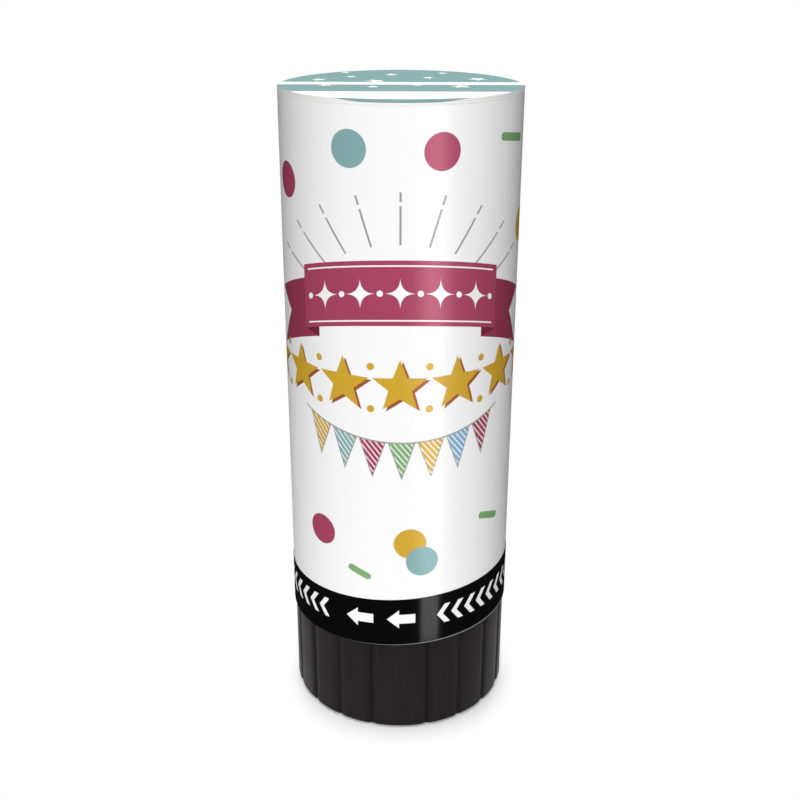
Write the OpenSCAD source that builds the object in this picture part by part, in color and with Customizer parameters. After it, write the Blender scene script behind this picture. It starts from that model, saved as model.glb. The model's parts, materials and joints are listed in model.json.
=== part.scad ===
// Twist-base confetti popper: a spring-driven pusher in a printed cardboard tube.
// Millimetres. The origin is the centre of the foot, +Z runs up the tube and -Y is the printed front.

/* [Barrel] */
// Outside diameter over the turn band
popper_d = 40; // [36:0.5:60]
// Height from the foot to the top of the fold in the seal
popper_h = 112; // [100:1:160]
// Wall of the cardboard tube
tube_wall = 1.6; // [1.2:0.1:2.4]
// Thickness of the printed paper label
label_t = 0.15; // [0.1:0.05:0.3]
// Height of the tube's lower edge above the foot
tube_z = 18.6; // [18:0.2:30]

/* [Turn band] */
// Thickness of the printed strip that carries the turning arrows
band_t = 0.1; // [0.08:0.02:0.3]
// Height of the strip on the front line
band_h = 9.2; // [6:0.2:14]
// How far the strip hangs below the tube on the front line
band_drop = 0.5; // [0.2:0.1:1]
// Rise of the strip's lower edge per unit of width, because it sits askew
band_low_share = 0.035; // [0:0.005:0.06]
// Rise of the strip's upper edge per unit of width
band_high_share = 0.055; // [0:0.005:0.08]

/* [Twist grip] */
// Wall of the grip from its crests to its inside
grip_wall = 1.8; // [1.4:0.1:2.6]
// Depth of the grooves between the flutes
flute_depth = 0.5; // [0.2:0.1:0.8]
// Flutes on each side, between the plain front and back panels
flutes_per_side = 8; // [5:1:12]
// Angle of each plain panel, in degrees
panel_angle = 30; // [16:1:40]
// Thickness of the grip's floor
floor_t = 2; // [1.6:0.2:3]
// Width of the ring that the popper stands on
foot_w = 3.5; // [2.5:0.5:5]
// Depth of the hollow inside that ring
foot_hollow = 0.8; // [0.4:0.1:1]
// Bevel round the grip's lower edge
grip_bevel = 0.8; // [0.3:0.1:1]

/* [Base plug] */
// Length of the plug that is glued into the tube
plug_hold = 11; // [8:0.5:16]
// Wall of the plug's sleeve
plug_wall = 1.7; // [1.4:0.1:2.4]
// Thickness of the deck that carries the spring
deck_t = 2; // [1.6:0.2:3]
// Height of the hooked skirt below the deck
skirt_h = 2.2; // [1.6:0.1:3.4]
// How far the grip's bead reaches into the plug's neck
bead_reach = 0.6; // [0.4:0.1:0.8]
// Height of that bead
bead_h = 1.6; // [1:0.1:2.4]

/* [Latch] */
// Diameter of the hole in the deck that the catch goes through
deck_hole_d = 6; // [5.4:0.2:7]
// Diameter of the catch's shank
catch_d = 4.4; // [3.8:0.2:4.8]
// Width of the saw cut that lets the two prongs close
catch_cut = 1.2; // [0.8:0.1:1.6]
// Reach of each prong's barb from the axis
barb_reach = 4.1; // [3.8:0.1:4.4]
// Height of the barb under the deck
barb_h = 3.7; // [3:0.1:4]
// Length of the tails that the cam squeezes
tail_h = 2.1; // [1.6:0.1:2.4]
// Outside diameter of the release cam
cam_d = 13.2; // [12.4:0.2:16]
// Width across the short way of the cam's oval hole
cam_short = 5.4; // [5.2:0.1:6]
// Width across the long way of the cam's oval hole
cam_long = 9.2; // [8.8:0.1:9.8]
// Depth of the oval hole
cam_depth = 3.6; // [2.4:0.2:4]

/* [Spring] */
// Diameter of the spring's wire
wire_d = 1.3; // [1:0.1:1.4]
// Diameter of the spring at the middle of its wire
spring_d = 26; // [24.6:0.2:27]
// Turns of the spring
spring_turns = 9.5; // [6:0.5:10]
// Length of the compressed spring
spring_h = 20; // [19:0.5:30]

/* [Pusher] */
// Thickness of the pusher's disc
pusher_t = 2; // [1.6:0.2:3]
// Gap between the pusher's guide skirt and the plug's sleeve below it
guide_clear = 1.6; // [0.6:0.2:4]
// Wall of the guide skirt
guide_wall = 1.6; // [1.2:0.1:2]
// Diameter of the hollow stem that holds the catch
stem_d = 8.4; // [7.4:0.2:9]
// Thickness of the card wad on the pusher
wad_t = 1.5; // [1:0.1:3]

/* [Confetti] */
// Empty height left over the load
headspace = 11.5; // [8:0.5:20]
// Packets of paper rounds in each column
packets = 8; // [5:1:12]

/* [Seal] */
// Thickness of the peel-off disc
seal_t = 0.4; // [0.3:0.05:0.6]
// Thickness of the half-moon lifting tab
tab_t = 0.3; // [0.2:0.05:0.4]
// Height of the fold that the tab hinges on
fold_h = 0.5; // [0.4:0.05:0.7]
// Thickness of that fold
fold_w = 0.6; // [0.4:0.1:1]
// How far the fold stands out past each side of the disc
fold_jut = 0.3; // [0.1:0.1:0.6]

/* [Hidden] */

// Clearance between the grip and what it turns on or under
turn_gap = 0.2;
// Axial play of the grip, and the gap under the tube's edge
end_gap = 0.3;
// Clearance of the pusher and its load in the bore
slide_gap = 0.3;
// Thickness of a peelable line of glue
glue_gap = 0.05;
// Gap under the deck at the barbs
barb_gap = 0.1;
// Overrun of every cut
over = 1;
// Facets of round pieces
$fn = 96;

// Radii of the barrel, from the outside in
band_r = popper_d / 2;
label_r = band_r - band_t;
tube_r = label_r - label_t;
bore_r = tube_r - tube_wall;

// Heights of the seal and the tube
seal_z = popper_h - fold_h - seal_t;
tube_top = seal_z - glue_gap;

// Grip, outside and inside
grip_r = label_r - turn_gap;
groove_r = grip_r - flute_depth;
grip_in_r = grip_r - grip_wall;
grip_top = tube_z - end_gap;
bead_r = grip_in_r - bead_reach;
bead_top = grip_top - bead_h;
bead_low = bead_top - bead_h;
// Points along each flute's outline
flute_points = 8;
// How square a flute's crown is: its drop grows with this power of the distance from the middle
flute_power = 4;
foot_r = groove_r - foot_w;

// Plug: the sleeve in the tube, the spigot in the grip, and the neck that the bead runs in
spigot_r = grip_in_r - turn_gap;
neck_r = bead_r - turn_gap;
neck_low = bead_low - turn_gap;
neck_top = bead_top + turn_gap;
sleeve_r = bore_r - plug_wall;
skirt_r = neck_r - plug_wall;
deck_low = neck_low + end_gap;
deck_top = deck_low + deck_t;
skirt_low = deck_low - skirt_h;
hook_bevel = 0.3;

// Rings that centre the spring on the deck and under the pusher
seat_wall = 1.3;
seat_play = 0.8;
seat_h = 2;
seat_r = spring_d / 2 - wire_d / 2 - seat_play;

// Stops that end the grip's quarter turn
turn_angle = 90;
lug_angle = 20;
lug_play_angle = 1;
lug_in_r = skirt_r + end_gap;
lug_top = neck_low - turn_gap;
lug_h = 4;

// Latch heights, down from the deck
barb_top = deck_low - barb_gap;
barb_low = barb_top - barb_h;
tail_low = barb_low - tail_h;
tail_r = barb_reach - 0.2 * barb_h;
barb_flat = 0.27 * barb_h;
prong_w = 0.86 * catch_d;
cam_top = barb_low + end_gap * 3;
cam_oval_low = cam_top - cam_depth;
cam_bore_r = (cam_long + end_gap) / 2;
cam_low = floor_t + foot_hollow;
spigot_top = (cam_low + cam_oval_low) / 2;

// Pusher heights
pusher_low = deck_top + spring_h;
pusher_top = pusher_low + pusher_t;
pusher_r = bore_r - slide_gap;
guide_low = tube_z + plug_hold + guide_clear;
stem_low = deck_top + end_gap * 5;
catch_hold = 12;
catch_top = stem_low + catch_hold;
cut_top = stem_low + catch_cut * 2;
rib_t = 1.2;
rib_h = 5;
ribs = 6;

// Load of confetti: one column in the middle and a ring of them round it
load_low = pusher_top + wad_t;
load_top = tube_top - headspace;
load_r = bore_r - slide_gap * 1.3;
column_gap = 0.25;
column_r = (load_r - column_gap) / 3;
packet_h = (load_top - load_low) / packets;
ring_columns = 6;
colours = 5;
column_step = 2;

// A ring or tube between two radii and two heights
module ring(outer, inner, low, high) {
    translate([0, 0, low]) difference() {
        cylinder(r = outer, h = high - low);
        translate([0, 0, -over]) cylinder(r = inner, h = high - low + 2 * over);
    }
}

// A ring's sector, from one angle to the next
module sector(outer, inner, low, high, from, to) {
    translate([0, 0, low]) rotate([0, 0, from]) rotate_extrude(angle = to - from)
        translate([inner, 0]) square([outer - inner, high - low]);
}

// All space above a plane that rises to the right by a share of x
module above(z, share) {
    reach = popper_d + over;
    translate([0, 0, z]) rotate([0, -atan(share), 0]) translate([-reach, -reach, 0])
        cube([2 * reach, 2 * reach, 2 * reach]);
}

module barrel_tube() {
    color("burlywood") ring(tube_r, bore_r, tube_z, tube_top);
}

module label_wrap() {
    color("white") ring(label_r, tube_r, tube_z, tube_top);
}

// A closed printed strip, slipped on a little askew
module turn_band() {
    low = tube_z - band_drop;
    color([0.03, 0.03, 0.03]) difference() {
        intersection() {
            ring(band_r, label_r, low - band_h, low + 2 * band_h);
            above(low, band_low_share);
        }
        above(low + band_h, band_high_share);
    }
}

// Sleeve, hooked skirt and deck in one turned piece, with two windows for the stops
module base_plug() {
    outline = [
        [deck_hole_d / 2, deck_low], [skirt_r, deck_low], [skirt_r, skirt_low],
        [spigot_r - hook_bevel, skirt_low], [spigot_r, skirt_low + hook_bevel], [spigot_r, neck_low],
        [neck_r, neck_low], [neck_r, neck_top], [spigot_r, neck_top], [spigot_r, tube_z],
        [bore_r, tube_z], [bore_r, tube_z + plug_hold], [sleeve_r, tube_z + plug_hold],
        [sleeve_r, deck_top], [seat_r, deck_top], [seat_r, deck_top + seat_h],
        [seat_r - seat_wall, deck_top + seat_h], [seat_r - seat_wall, deck_top], [deck_hole_d / 2, deck_top]
    ];
    half_lug = lug_angle / 2 + lug_play_angle;
    color("dimgray") difference() {
        rotate_extrude() polygon(outline);
        for (side = [90, 270])
            sector(grip_in_r, skirt_r - over, skirt_low - over, neck_low,
                side - turn_angle - half_lug, side + half_lug);
    }
}

// Radius of a flute's outline at a share of its width
function flute_r(share) = grip_r - flute_depth * pow(abs(2 * share - 1), flute_power);

// Outline of one flute or panel, from one angle to the next
function flute(from, to) = [for (i = [0 : flute_points - 1])
    let (share = i / flute_points, a = from + (to - from) * share, r = flute_r(share))
    [r * cos(a), r * sin(a)]];

// Angles where the flutes meet, counted from the middle of the back panel
flute_angle = (180 - panel_angle) / flutes_per_side;
half_turn = [for (i = [0 : flutes_per_side]) panel_angle / 2 + i * flute_angle];
joints_at = concat(half_turn, [for (a = half_turn) a + 180]);

function grip_outline() = [for (i = [0 : len(joints_at) - 1])
    each flute(joints_at[i], i + 1 < len(joints_at) ? joints_at[i + 1] : joints_at[0] + 360)];

// A fluted cup with a foot ring, a snap bead, two stop lugs and a spigot for the cam
module twist_grip() {
    color([0.16, 0.16, 0.17]) union() {
        difference() {
            rotate([0, 0, 90]) linear_extrude(height = grip_top) polygon(grip_outline());
            translate([0, 0, cam_low]) cylinder(r = grip_in_r, h = grip_top);
            translate([0, 0, -over]) cylinder(r = foot_r, h = over + foot_hollow);
            rotate([0, 0, panel_angle + flute_angle / 4]) rotate_extrude() polygon([
                [grip_r - grip_bevel - over, -over], [grip_r + over, -over],
                [grip_r + over, grip_bevel + over]]);
        }
        ring(grip_in_r + turn_gap, bead_r, bead_low, bead_top);
        for (side = [90, 270])
            sector(grip_in_r + turn_gap, lug_in_r, lug_top - lug_h, lug_top,
                side - lug_angle / 2, side + lug_angle / 2);
        translate([0, 0, floor_t]) cylinder(r = cam_bore_r, h = spigot_top - floor_t);
    }
}

// A collar whose oval hole closes on the prongs when the grip turns
module release_cam() {
    color("slategray") difference() {
        translate([0, 0, cam_low]) cylinder(d = cam_d, h = cam_top - cam_low);
        translate([0, 0, cam_low - over]) cylinder(r = cam_bore_r, h = cam_oval_low - cam_low + over);
        translate([0, 0, cam_low]) linear_extrude(height = cam_top) union() {
            for (side = [-1, 1])
                translate([side * (cam_long - cam_short) / 2, 0]) circle(d = cam_short);
            square([cam_long - cam_short, cam_short], center = true);
        }
    }
}

// Two barbed prongs on one shank, cut apart so that they can close
module catch_clip() {
    prong = [[0, tail_low], [catch_d / 2, tail_low], [tail_r, tail_low + tail_h / 2], [tail_r, barb_low],
        [barb_reach, barb_top - barb_flat], [barb_reach, barb_top], [0, barb_top]];
    color("ivory") difference() {
        union() {
            intersection() {
                rotate_extrude() polygon(prong);
                translate([-barb_reach - over, -prong_w / 2, tail_low - over])
                    cube([2 * (barb_reach + over), prong_w, barb_top - tail_low + 2 * over]);
            }
            translate([0, 0, barb_low]) cylinder(d = catch_d, h = catch_top - barb_low);
        }
        translate([-catch_cut / 2, -barb_reach, tail_low - over])
            cube([catch_cut, 2 * barb_reach, cut_top - tail_low + over]);
    }
}

// Centre of the wire at a share of the spring's length
function wire_at(share) = let (a = 360 * spring_turns * share, low = deck_top + glue_gap + wire_d / 2,
    high = pusher_low - glue_gap - wire_d / 2)
    [spring_d / 2 * cos(a), spring_d / 2 * sin(a), low + (high - low) * share];

// One ring of the wire's surface
function wire_ring(share, sides) = let (a = 360 * spring_turns * share, c = wire_at(share))
    [for (i = [0 : sides - 1]) let (t = 360 * i / sides)
        c + wire_d / 2 * (cos(t) * [cos(a), sin(a), 0] + sin(t) * [0, 0, 1])];

module main_spring() {
    sides = 8;
    steps = round(spring_turns * 20);
    points = [for (k = [0 : steps]) each wire_ring(k / steps, sides)];
    walls = [for (k = [0 : steps - 1], i = [0 : sides - 1])
        let (j = (i + 1) % sides, a = k * sides + i, b = k * sides + j, c = b + sides, d = a + sides)
        each [[a, b, c], [a, c, d]]];
    last = steps * sides;
    ends = [for (i = [1 : sides - 2]) each [[0, i + 1, i], [last, last + i, last + i + 1]]];
    echo(spring_gap = norm(wire_at(1 / spring_turns) - wire_at(0)) - wire_d);
    color("silver") polyhedron(points, concat(walls, ends), convexity = 10);
}

// A disc with a guide skirt, a hollow stem, ribs and a ring that centres the spring
module pusher() {
    color("gainsboro") difference() {
        union() {
            translate([0, 0, pusher_low]) cylinder(r = pusher_r, h = pusher_t);
            ring(pusher_r, pusher_r - guide_wall, guide_low, pusher_low + glue_gap);
            ring(seat_r, seat_r - seat_wall, pusher_low - seat_h, pusher_low + glue_gap);
            translate([0, 0, stem_low]) cylinder(d = stem_d, h = pusher_low - stem_low + glue_gap);
            for (i = [0 : ribs - 1]) rotate([0, 0, 360 * i / ribs])
                translate([0, -rib_t / 2, pusher_low - rib_h])
                    cube([seat_r - seat_wall / 2, rib_t, rib_h + glue_gap]);
        }
        translate([0, 0, stem_low - over]) cylinder(d = catch_d, h = catch_hold + over);
    }
}

module pusher_wad() {
    color("tan") translate([0, 0, pusher_top]) cylinder(r = load_r, h = wad_t);
}

// Packets of one colour, which step round the columns from layer to layer
module confetti(colour) {
    for (column = [0 : ring_columns], layer = [0 : packets - 1])
        if ((column * column_step + layer) % colours == colour)
            rotate([0, 0, 360 * column / ring_columns])
                translate([column == 0 ? 0 : 2 * column_r + column_gap, 0, load_low + layer * packet_h])
                    cylinder(r = column_r, h = packet_h, $fn = 48);
}

module confetti_teal() {
    color([0.51, 0.70, 0.69]) confetti(0);
}

module confetti_raspberry() {
    color([0.64, 0.26, 0.38]) confetti(1);
}

module confetti_gold() {
    color([0.80, 0.65, 0.20]) confetti(2);
}

module confetti_green() {
    color([0.52, 0.69, 0.47]) confetti(3);
}

module confetti_white() {
    color([0.95, 0.95, 0.93]) confetti(4);
}

module seal_disc() {
    color([0.51, 0.70, 0.69]) translate([0, 0, seal_z]) cylinder(r = label_r, h = seal_t);
}

// The white edge of the fold, across the whole disc
module tab_fold() {
    length = 2 * (label_r + fold_jut);
    color("white") translate([-length / 2, -fold_w / 2, seal_z + seal_t]) cube([length, fold_w, fold_h]);
}

// The front half of the cover, free to lift at the fold
module lift_tab() {
    near = fold_w / 2 + tab_t + turn_gap / 2;
    color([0.51, 0.70, 0.69]) intersection() {
        translate([0, 0, seal_z + seal_t + glue_gap]) cylinder(r = label_r, h = tab_t);
        translate([-label_r - over, -label_r - over - near, seal_z])
            cube([2 * (label_r + over), label_r + over, seal_t + fold_h + over]);
    }
}

barrel_tube();
label_wrap();
turn_band();
base_plug();
twist_grip();
release_cam();
catch_clip();
main_spring();
pusher();
pusher_wad();
confetti_teal();
confetti_raspberry();
confetti_gold();
confetti_green();
confetti_white();
seal_disc();
tab_fold();
lift_tab();
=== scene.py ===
# %% [markdown]
# # A twist-base confetti popper
# The real object is a cardboard tube with a glossy paper label, a black film band with white arrows,
# a fluted plastic grip that turns, and a card cover with a tab. Inside it are a plug, a coil spring
# on a catch, a pusher and the paper rounds. The CAD model already gives each piece its place and
# size. This lesson makes most of the pieces again with finer shapes, and gives every piece its
# finish. Every length here is in millimetres until a mesh is made.

# %% Load the packed model
import json
import math

import bmesh
import bpy
from mathutils import Matrix, Vector

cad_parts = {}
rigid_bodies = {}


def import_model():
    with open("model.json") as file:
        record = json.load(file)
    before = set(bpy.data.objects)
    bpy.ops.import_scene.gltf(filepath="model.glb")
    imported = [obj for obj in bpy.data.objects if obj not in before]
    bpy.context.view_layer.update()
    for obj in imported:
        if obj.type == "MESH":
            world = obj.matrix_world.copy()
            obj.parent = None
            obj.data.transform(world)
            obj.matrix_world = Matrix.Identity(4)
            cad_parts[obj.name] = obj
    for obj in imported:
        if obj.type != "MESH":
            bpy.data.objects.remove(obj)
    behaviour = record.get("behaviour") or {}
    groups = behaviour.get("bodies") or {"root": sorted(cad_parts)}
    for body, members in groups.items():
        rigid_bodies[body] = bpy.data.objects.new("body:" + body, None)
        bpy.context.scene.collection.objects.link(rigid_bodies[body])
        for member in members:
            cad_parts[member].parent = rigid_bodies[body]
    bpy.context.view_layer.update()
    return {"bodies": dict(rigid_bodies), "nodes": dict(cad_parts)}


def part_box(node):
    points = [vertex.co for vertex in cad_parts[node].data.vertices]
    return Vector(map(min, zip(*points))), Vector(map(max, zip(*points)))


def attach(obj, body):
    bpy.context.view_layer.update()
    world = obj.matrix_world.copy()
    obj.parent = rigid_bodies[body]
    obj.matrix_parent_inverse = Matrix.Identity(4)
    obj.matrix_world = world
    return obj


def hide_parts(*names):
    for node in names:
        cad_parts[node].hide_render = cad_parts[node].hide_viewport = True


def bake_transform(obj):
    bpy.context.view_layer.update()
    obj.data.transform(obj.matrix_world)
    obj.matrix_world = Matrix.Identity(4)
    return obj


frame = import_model()
MM = 0.001
scene = bpy.context.scene
print("bodies:", ", ".join(frame["bodies"]))


def span(node, axis):
    """Lowest and highest place of a CAD node along an axis, in millimetres."""
    low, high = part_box(node)
    return low[axis] / MM, high[axis] / MM


X, Y, Z = range(3)
LABEL_R = span("label_wrap", Y)[1]
TUBE_R = span("barrel_tube", Y)[1]
BAND_R = span("turn_band", Y)[1]
GRIP_R = span("twist_grip", Y)[1]
TUBE_LOW, TUBE_TOP = span("barrel_tube", Z)
GRIP_TOP = span("twist_grip", Z)[1]
SEAL_TOP = span("seal_disc", Z)[1]
print(f"label radius {LABEL_R:.2f}, tube from {TUBE_LOW:.2f} to {TUBE_TOP:.2f}")

# %% [markdown]
# ## Camera
# The photograph looks down on the popper from a little above its lid, with a slight turn of the
# picture. The places were found by fitting the rim, the sides and the foot. Camera helpers aren't
# used, because the camera's own numbers say it more plainly.

# %% Camera
CAMERA_AT = (0, -191.8, 136.3)
CAMERA_PITCH = math.radians(22.59)
CAMERA_ROLL = 0.003
camera = bpy.data.objects.new("camera", bpy.data.cameras.new("camera"))
scene.collection.objects.link(camera)
camera.data.sensor_width = 36
camera.data.lens = 52.14
tilt = Matrix.Rotation(math.pi / 2 - CAMERA_PITCH, 4, "X") @ Matrix.Rotation(CAMERA_ROLL, 4, "Z")
camera.matrix_world = Matrix.Translation(Vector(CAMERA_AT) * MM) @ tilt
camera.data.clip_start = 0.01
scene.camera = camera
scene.view_settings.view_transform = "Standard"
print("camera lens", camera.data.lens)

# %% [markdown]
# ## Numbers in a node tree
# Patterns here are sums on the place of a point, such as its distance from a dot's centre. Wiring
# Math nodes by hand is slow to read, so a small class wraps a socket and lets Python's own
# operators add the nodes. The same class serves materials and Geometry Nodes.

# %% A number at a socket


class Num:
    """A number at a socket. Arithmetic on it adds Math nodes to its graph."""

    def __init__(self, graph, socket):
        self.graph = graph
        self.socket = socket

    def __add__(self, other):
        return self.graph.maths("ADD", self, other)

    __radd__ = __add__

    def __sub__(self, other):
        return self.graph.maths("SUBTRACT", self, other)

    def __rsub__(self, other):
        return self.graph.maths("SUBTRACT", other, self)

    def __mul__(self, other):
        return self.graph.maths("MULTIPLY", self, other)

    def __truediv__(self, other):
        return self.graph.maths("DIVIDE", self, other)

    def __mod__(self, other):
        return self.graph.maths("FLOORED_MODULO", self, other)

    def __pow__(self, other):
        return self.graph.maths("POWER", self, other)

    def __and__(self, other):
        return self.graph.maths("MINIMUM", self, other)

    def __or__(self, other):
        return self.graph.maths("MAXIMUM", self, other)

    def __abs__(self):
        return self.graph.maths("ABSOLUTE", self)


print("operators:", len([n for n in vars(Num) if n.startswith("__")]))

# %% A node tree
EDGE_BLUR = 0.06


class Graph:
    """A node tree that is built by calls."""

    def __init__(self, tree):
        self.tree = tree

    def add(self, kind, settings=None, values=None):
        """One node of any kind: first its settings, then the values or links of its sockets."""
        node = self.tree.nodes.new(kind)
        for name, value in (settings or {}).items():
            setattr(node, name, value)
        for name, value in (values or {}).items():
            self.feed(node.inputs[name], value)
        return node

    def feed(self, socket, value):
        if isinstance(value, Num):
            value = value.socket
        if isinstance(value, bpy.types.NodeSocket):
            self.tree.links.new(value, socket)
        else:
            socket.default_value = value

    def maths(self, operation, *values, clamp=False):
        settings = {"operation": operation, "use_clamp": clamp}
        node = self.add("ShaderNodeMath", settings, dict(enumerate(values)))
        return Num(self, node.outputs[0])

    def vector(self, operation, *values, out="Vector"):
        """A Vector Math node. Its result is a number where out is Value."""
        node = self.add("ShaderNodeVectorMath", {"operation": operation}, dict(enumerate(values)))
        return Num(self, node.outputs[out])

    def join(self, x, y, z=0.0):
        return Num(self, self.add("ShaderNodeCombineXYZ", None, {0: x, 1: y, 2: z}).outputs[0])

    def split(self, vector):
        node = self.add("ShaderNodeSeparateXYZ", None, {0: vector})
        return [Num(self, socket) for socket in node.outputs]

    def length(self, x, y):
        return self.maths("SQRT", x * x + y * y)

    def scaled(self, vector, factor):
        """A vector times a number."""
        node = self.add("ShaderNodeVectorMath", {"operation": "SCALE"}, {0: vector, "Scale": factor})
        return Num(self, node.outputs["Vector"])

    def fade(self, value, start, end):
        """0 where a value is at the start, 1 where it is at the end, and a straight line between."""
        return self.maths("DIVIDE", value - start, end - start, clamp=True)

    def inside(self, distance, blur=EDGE_BLUR):
        """1 where a distance is below zero and 0 above, with a soft edge as wide as blur."""
        return self.maths("MULTIPLY_ADD", distance, -1 / blur, 0.5, clamp=True)

    def between(self, value, low, high, blur=EDGE_BLUR):
        """1 where a value lies between two others."""
        return self.inside(abs(value - (low + high) / 2) - (high - low) / 2, blur)


print("tools of a tree:", len([n for n in vars(Graph) if not n.startswith("_")]))

# %% [markdown]
# ## A material is a graph with a surface
# Each finish starts from the Principled shader. One number for the whole surface is written on the
# shader's own socket, and only what changes from place to place is linked to it. Places are read
# from Object coordinates in millimetres, so that a pattern has its real size.

# %% The material class


def tone(red, green, blue):
    """The linear colour of a paint that is written in the 0 to 255 values of a picture."""
    shares = [c / 255 for c in (red, green, blue)]
    return tuple(s / 12.92 if s <= 0.04045 else ((s + 0.055) / 1.055) ** 2.4 for s in shares) + (1.0,)


class Look(Graph):
    """A material: a Principled shader and the place of the shaded point in millimetres."""

    def __init__(self, name, colour, **sockets):
        self.material = bpy.data.materials.new(name)
        self.material.use_nodes = True
        super().__init__(self.material.node_tree)
        self.tree.nodes.clear()
        self.shader = self.add("ShaderNodeBsdfPrincipled", None, {"Base Color": colour})
        self.set(**sockets)
        self.add("ShaderNodeOutputMaterial", None, {"Surface": self.shader.outputs[0]})
        place = self.add("ShaderNodeTexCoord").outputs["Object"]
        self.point = self.scaled(place, 1 / MM)
        self.x, self.y, self.z = self.split(self.point)

    def set(self, **sockets):
        """Feeds the shader's sockets, with a name such as Coat_Weight written for Coat Weight."""
        for name, value in sockets.items():
            self.feed(self.shader.inputs[name.replace("_", " ")], value)

    def paint(self, mask, under, over):
        """A colour that is under where the mask is 0 and over where it is 1."""
        node = self.add("ShaderNodeMix", {"data_type": "RGBA"}, {0: mask, 6: under, 7: over})
        return node.outputs[2]

    def noise(self, size, detail=2.0, stretch=(1, 1, 1), seed=(0, 0, 0)):
        """Noise between 0 and 1 whose lumps are about as large as size, in millimetres."""
        place = self.vector("ADD", self.vector("MULTIPLY", self.point, stretch), seed)
        values = {"Vector": place, "Scale": 1 / size, "Detail": detail}
        return Num(self, self.add("ShaderNodeTexNoise", None, values).outputs["Fac"])

    def bump(self, height, depth):
        """Dents the surface by a height from 0 to 1, at most depth deep, in millimetres."""
        values = {"Height": height, "Distance": depth * MM, "Strength": 1.0}
        return self.add("ShaderNodeBump", None, values).outputs[0]


print("a picture's middle grey is", [round(c, 3) for c in tone(128, 128, 128)[:3]])

# %% [markdown]
# ## Lamps
# The photograph's light is soft: a large lamp in front, one overhead for the lid, a broad one behind,
# and a small card low on the left that lifts that edge of the grip. These four are kept out of
# reflections. A long narrow lamp close by on the right gives the gloss stripe down the barrel, and
# only reflections see it. Its stripe can then be set without a change of the rest.

# %% Lamps


def lamp(name, azimuth, height, distance, wide, tall, watts, aim=60, diffuse=True):
    """A rectangular soft lamp. Azimuth 0 is in front, and 90 is on the right."""
    data = bpy.data.lights.new(name, "AREA")
    data.shape = "RECTANGLE"
    data.size = wide * MM
    data.size_y = tall * MM
    data.energy = watts
    made = bpy.data.objects.new(name, data)
    scene.collection.objects.link(made)
    a = math.radians(azimuth)
    place = Vector((math.sin(a) * distance, -math.cos(a) * distance, height))
    made.location = place * MM
    made.rotation_mode = "QUATERNION"
    made.rotation_quaternion = (place - Vector((0, 0, aim))).to_track_quat("Z", "Y")
    made.visible_camera = False
    made.visible_diffuse = diffuse
    made.visible_glossy = not diffuse
    return made


lamp("key", azimuth=0.5, height=320, distance=900, wide=300, tall=300, watts=7.85)
lamp("overhead", azimuth=0, height=900, distance=40, wide=320, tall=320, watts=4.7)
lamp("rear", azimuth=180, height=420, distance=900, wide=900, tall=520, watts=7.0)
lamp("left_card", azimuth=-78, height=26, distance=120, wide=70, tall=60, watts=0.022, aim=24)
gloss_strip = lamp(
    "gloss_strip", azimuth=25.2, height=57, distance=46, wide=12, tall=114, watts=0.16, aim=57,
    diffuse=False,
)
print("lamps:", len(bpy.data.lights))

# %% [markdown]
# ## World and floor
# The picture's background is plain white. So the world is white for the camera and for reflections,
# but it throws hardly any light of its own. The floor takes the contact shadow. For the camera its
# gain is above 1, so it is the sum of two diffuse shaders with half of it each, and it fades to plain
# white a few millimetres off the foot. For the rays that carry light it is duller, and only the
# part near the popper throws some light back.

# %% World and floor
AMBIENT = 0.02
FLOOR_SIZE = 12000
FLOOR_GAIN = 1.13
SHADOW_START = 20.6
SHADOW_END = 25.0
FLOOR_BOUNCE = 0.36
FLOOR_DARK = 0.03
BOUNCE_START = 60.0
BOUNCE_END = 140.0


def seen_directly(graph):
    """1 for rays from the camera, off gloss or through glass, and 0 for rays that carry light."""
    path = graph.add("ShaderNodeLightPath").outputs
    camera_ray, glossy, through = (
        Num(graph, path[name]) for name in ("Is Camera Ray", "Is Glossy Ray", "Is Transmission Ray")
    )
    return camera_ray | glossy | through


scene.world = bpy.data.worlds.new("studio")
scene.world.use_nodes = True
sky = Graph(scene.world.node_tree)
sky.tree.nodes.clear()
strength = seen_directly(sky) * (1 - AMBIENT) + AMBIENT
background = sky.add("ShaderNodeBackground", None, {"Color": (1, 1, 1, 1), "Strength": strength})
sky.add("ShaderNodeOutputWorld", None, {"Surface": background.outputs[0]})

bpy.ops.mesh.primitive_plane_add(size=FLOOR_SIZE * MM)
floor = bpy.context.object
floor.name = "floor"
floor.data.materials.append(bpy.data.materials.new("pale_floor"))
floor.data.materials[0].use_nodes = True
ground = Graph(floor.data.materials[0].node_tree)
ground.tree.nodes.clear()
place = ground.add("ShaderNodeTexCoord").outputs["Object"]
off_axis = ground.vector("LENGTH", place, out="Value") / MM
far_off = ground.fade(off_axis, SHADOW_START, SHADOW_END)
near = ground.fade(off_axis, BOUNCE_END, BOUNCE_START)
bounce = ground.add("ShaderNodeBsdfDiffuse", None, {"Color": near * FLOOR_BOUNCE + FLOOR_DARK})
half_gain = (FLOOR_GAIN / 2, FLOOR_GAIN / 2, FLOOR_GAIN / 2, 1)
half = ground.add("ShaderNodeBsdfDiffuse", None, {"Color": half_gain})
pale = ground.add("ShaderNodeAddShader", None, {0: half.outputs[0], 1: half.outputs[0]})
white = ground.add("ShaderNodeEmission", None, {"Color": (1, 1, 1, 1), "Strength": 1.0})
shown = ground.add("ShaderNodeMixShader", None, {0: far_off, 1: pale.outputs[0], 2: white.outputs[0]})
chosen = ground.add(
    "ShaderNodeMixShader", None, {0: seen_directly(ground), 1: bounce.outputs[0], 2: shown.outputs[0]}
)
ground.add("ShaderNodeOutputMaterial", None, {"Surface": chosen.outputs[0]})
print("floor", FLOOR_SIZE / 1000, "m wide")

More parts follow.
